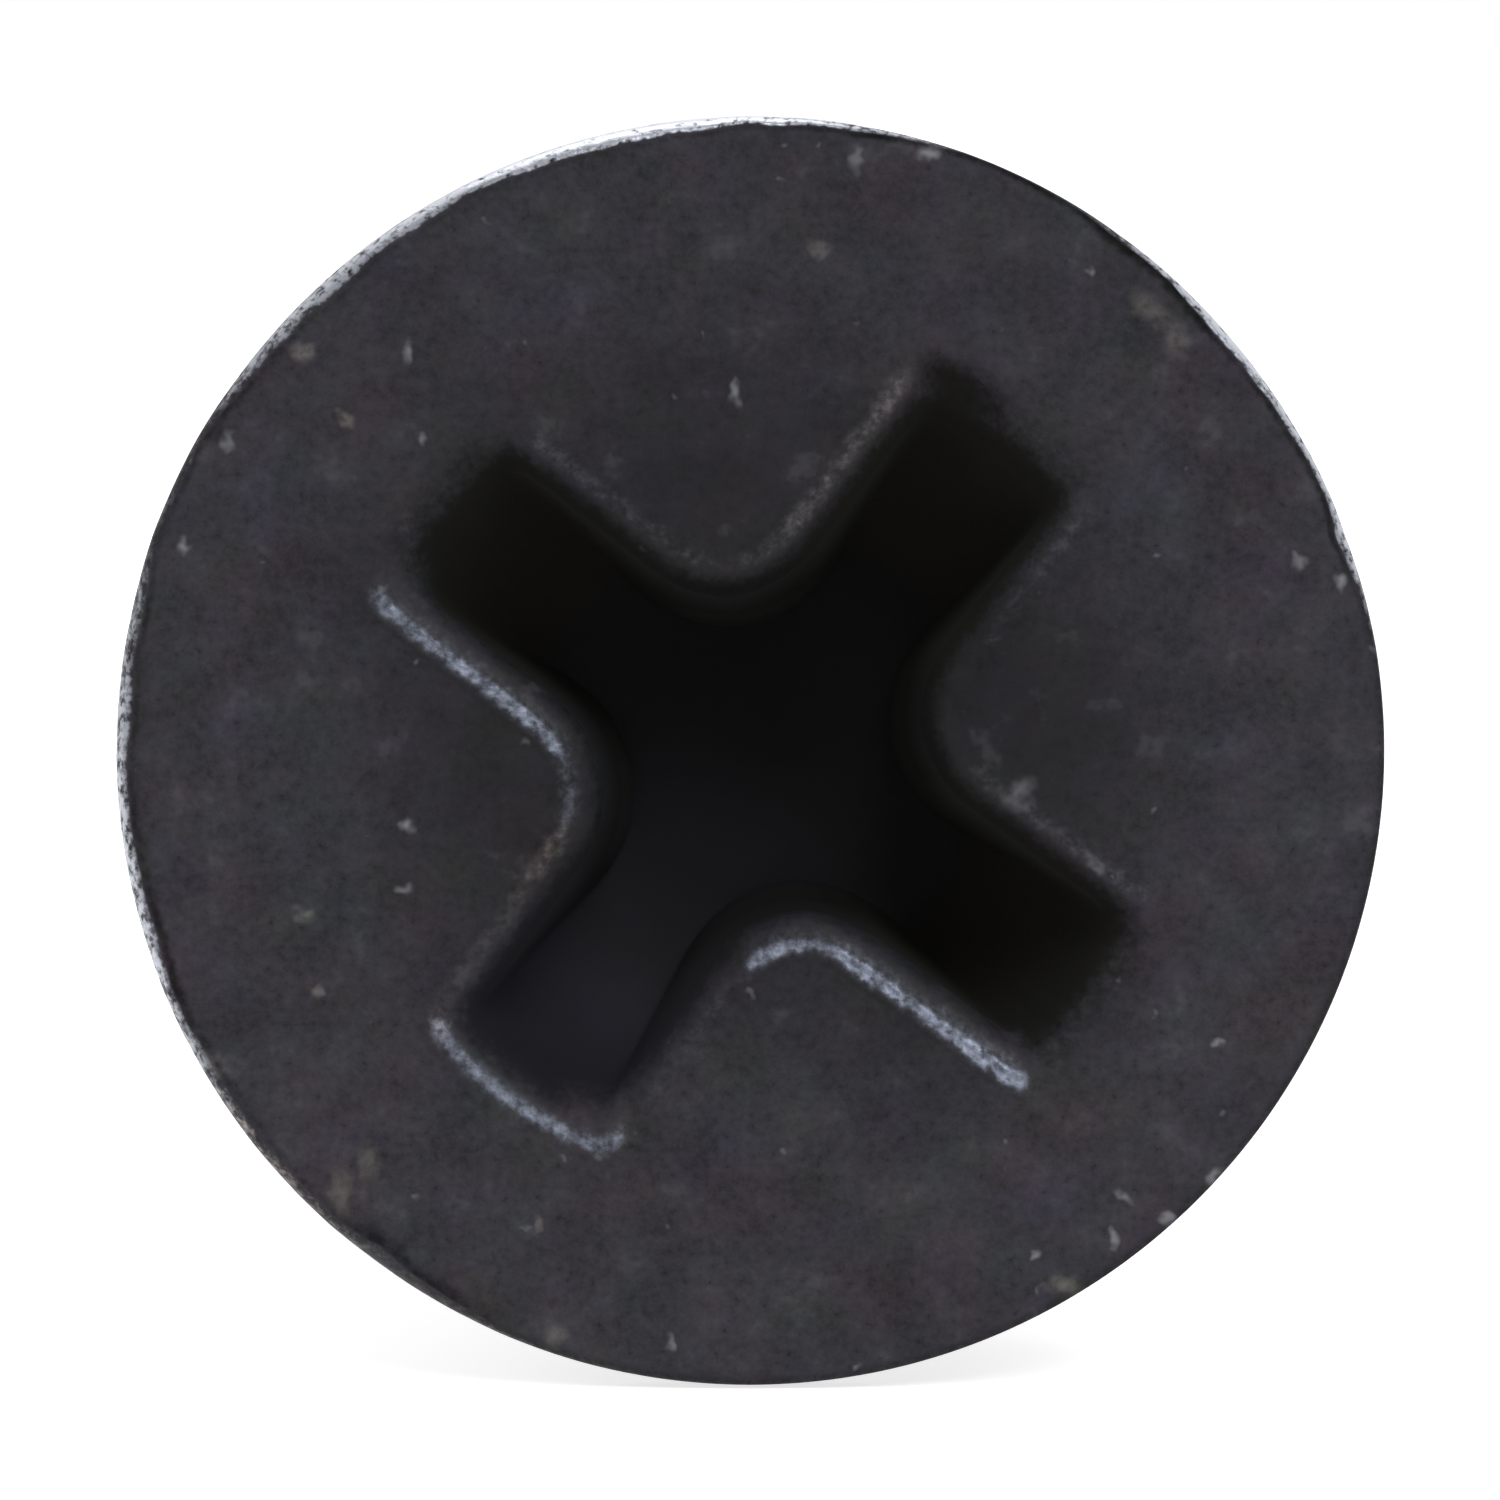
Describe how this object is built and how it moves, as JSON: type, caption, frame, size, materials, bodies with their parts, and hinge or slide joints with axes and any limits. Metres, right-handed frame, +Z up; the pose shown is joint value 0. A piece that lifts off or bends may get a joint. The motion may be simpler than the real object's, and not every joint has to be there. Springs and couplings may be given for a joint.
{
  "type": "drywall screw",
  "caption": "Coarse drywall screw with a flat-topped bugle head, cross recess, plain neck, deep open thread and sharp point, in dull black phosphate.",
  "frame": {"origin": "middle of the screw's box, on the floor that it lies on", "axes": "+Y from the head to the point, with the face of the head looking to -Y, and +Z up from the floor"},
  "size_m": [0.0082, 0.0322, 0.0082],
  "materials": {
    "phosphate": "dull grey-black phosphated steel, faintly speckled, bright where the edges are worn"
  },
  "bodies": {
    "root": {"screw": "phosphate"}
  },
  "joints": []
}
